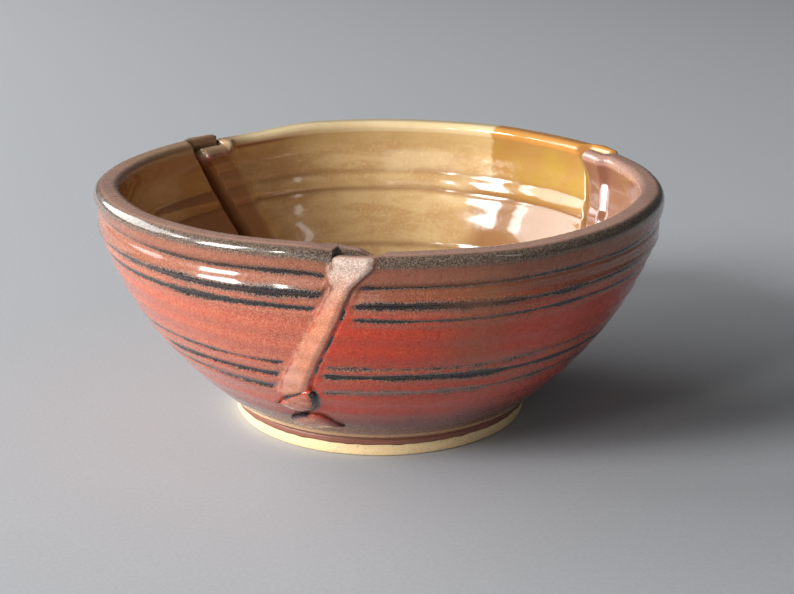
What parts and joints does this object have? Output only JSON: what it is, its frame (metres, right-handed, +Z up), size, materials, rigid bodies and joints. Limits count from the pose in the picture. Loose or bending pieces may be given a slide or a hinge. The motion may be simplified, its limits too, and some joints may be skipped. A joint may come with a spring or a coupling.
{
  "type": "shaving bowl",
  "caption": "Open stoneware shaving bowl whose wall is cut into leaves and lapped back together over slip, standing on a trimmed foot ring.",
  "frame": {"origin": "centre of the foot on the surface the bowl stands on", "axes": "+Z up along the throwing axis, -Y toward the front seam, +X to the right as seen from the front"},
  "size_m": [0.1405, 0.1412, 0.06],
  "materials": {
    "bare_clay": "unglazed cream stoneware, wiped smooth",
    "foot_glaze": "thin mauve-brown glaze with a ragged lower edge",
    "wall_glaze": "glossy iron red outside breaking to dark grooves, tan to amber liner inside, mauve-brown rim",
    "slip_clay": "fired slip, hidden inside the laps"
  },
  "bodies": {
    "root": {"foot_ring": "bare_clay", "foot_glaze_band": "foot_glaze", "base_dish": "wall_glaze", "leaf_right": "wall_glaze", "leaf_back": "wall_glaze", "leaf_left": "wall_glaze", "slip_front": "slip_clay", "slip_back_right": "slip_clay", "slip_back_left": "slip_clay", "upper_tuck_front": "wall_glaze", "lower_tuck_front": "wall_glaze", "upper_tuck_back_right": "wall_glaze", "lower_tuck_back_right": "wall_glaze", "upper_tuck_back_left": "wall_glaze", "lower_tuck_back_left": "wall_glaze"}
  },
  "joints": []
}
